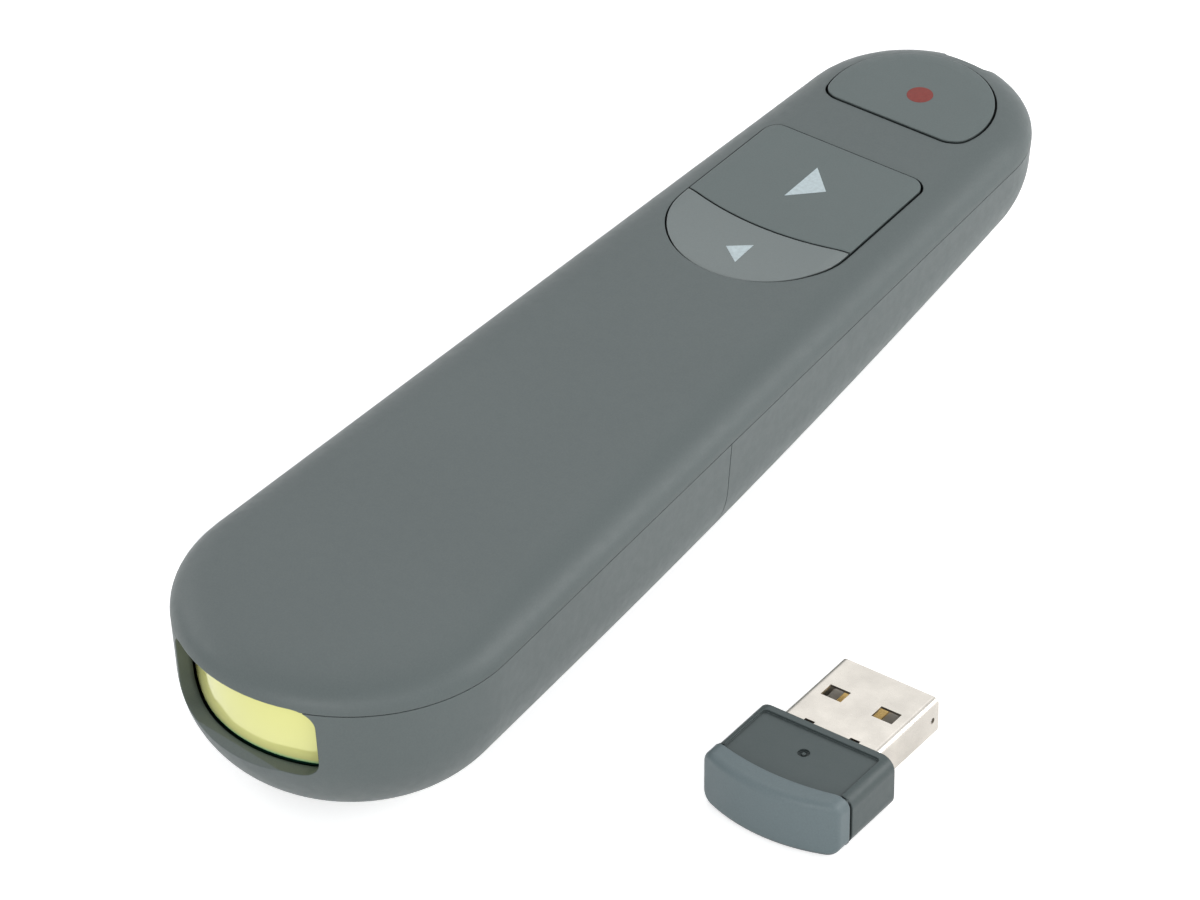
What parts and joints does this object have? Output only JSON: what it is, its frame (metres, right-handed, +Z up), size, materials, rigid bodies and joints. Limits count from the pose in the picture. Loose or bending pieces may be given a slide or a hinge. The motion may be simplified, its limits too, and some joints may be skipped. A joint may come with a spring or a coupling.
{
  "type": "wireless presentation clicker",
  "caption": "Slim hand-held slide clicker with page and laser buttons, a tinted tail window, a sliding battery cover and a small plug-in receiver.",
  "frame": {"origin": "on the flat resting face, straight below the centre of the tail's round end", "axes": "+X to the right seen from the tail, +Y along the body from tail to nose, +Z up"},
  "size_m": [0.0707, 0.1339, 0.0215],
  "materials": {
    "shell_grey": "fine matte, slightly soft",
    "key_grey": "fine matte",
    "window_tint": "polished, tinted yellow-green",
    "window_clear": "polished",
    "inner_black": "matte",
    "cell_jacket": "satin film",
    "spring_steel": "bright",
    "board_green": "lacquered",
    "switch_black": "matte",
    "chip_black": "matte",
    "mat_rubber": "matte",
    "barrel_brass": "turned",
    "lamp_white": "gloss",
    "slider_black": "matte, ribbed",
    "plug_steel": "satin nickel",
    "tongue_white": "matte",
    "pin_gold": "gold plated"
  },
  "bodies": {
    "casing": {"upper_shell": "shell_grey", "lower_shell": "shell_grey", "tail_lens": "window_tint", "nose_window": "window_clear", "battery_tray": "inner_black", "battery_left": "cell_jacket", "battery_right": "cell_jacket", "battery_contacts": "spring_steel", "battery_springs": "spring_steel", "case_screws": "spring_steel", "main_board": "board_green", "next_switch": "switch_black", "previous_switch": "switch_black", "laser_switch": "switch_black", "radio_chip": "chip_black", "button_mat": "mat_rubber", "laser_barrel": "barrel_brass", "laser_diode": "spring_steel", "tail_board": "board_green", "tail_lamps": "lamp_white", "power_switch": "switch_black", "power_board": "board_green"},
    "battery_door": {"battery_cover": "shell_grey"},
    "next_key": {"next_button": "key_grey"},
    "previous_key": {"previous_button": "key_grey"},
    "laser_key": {"laser_button": "key_grey"},
    "power_knob": {"power_slider": "slider_black"},
    "receiver": {"receiver_housing": "shell_grey", "receiver_cap": "shell_grey", "plug_shell": "plug_steel", "plug_tongue": "tongue_white", "plug_contacts": "pin_gold", "receiver_board": "board_green", "receiver_chip": "chip_black"}
  },
  "joints": [
    {"name": "next_press", "type": "slide", "parent": "casing", "child": "next_key", "axis": [0, 0, -1], "range_m": [0, 0.0006], "stiffness_N_per_m": 1500},
    {"name": "previous_press", "type": "slide", "parent": "casing", "child": "previous_key", "axis": [0, 0, -1], "range_m": [0, 0.0006], "stiffness_N_per_m": 1500},
    {"name": "laser_press", "type": "slide", "parent": "casing", "child": "laser_key", "axis": [0, 0, -1], "range_m": [0, 0.0006], "stiffness_N_per_m": 1500},
    {"name": "cover_slide", "type": "slide", "parent": "casing", "child": "battery_door", "axis": [0, -1, 0], "range_m": [0, 0.066]},
    {"name": "power_slide", "type": "slide", "parent": "casing", "child": "power_knob", "axis": [0, 1, 0], "range_m": [0, 0.003]},
    {"name": "receiver_lift", "type": "slide", "parent": "casing", "child": "receiver", "axis": [0, 0, 1], "range_m": [0, 0.04]}
  ]
}
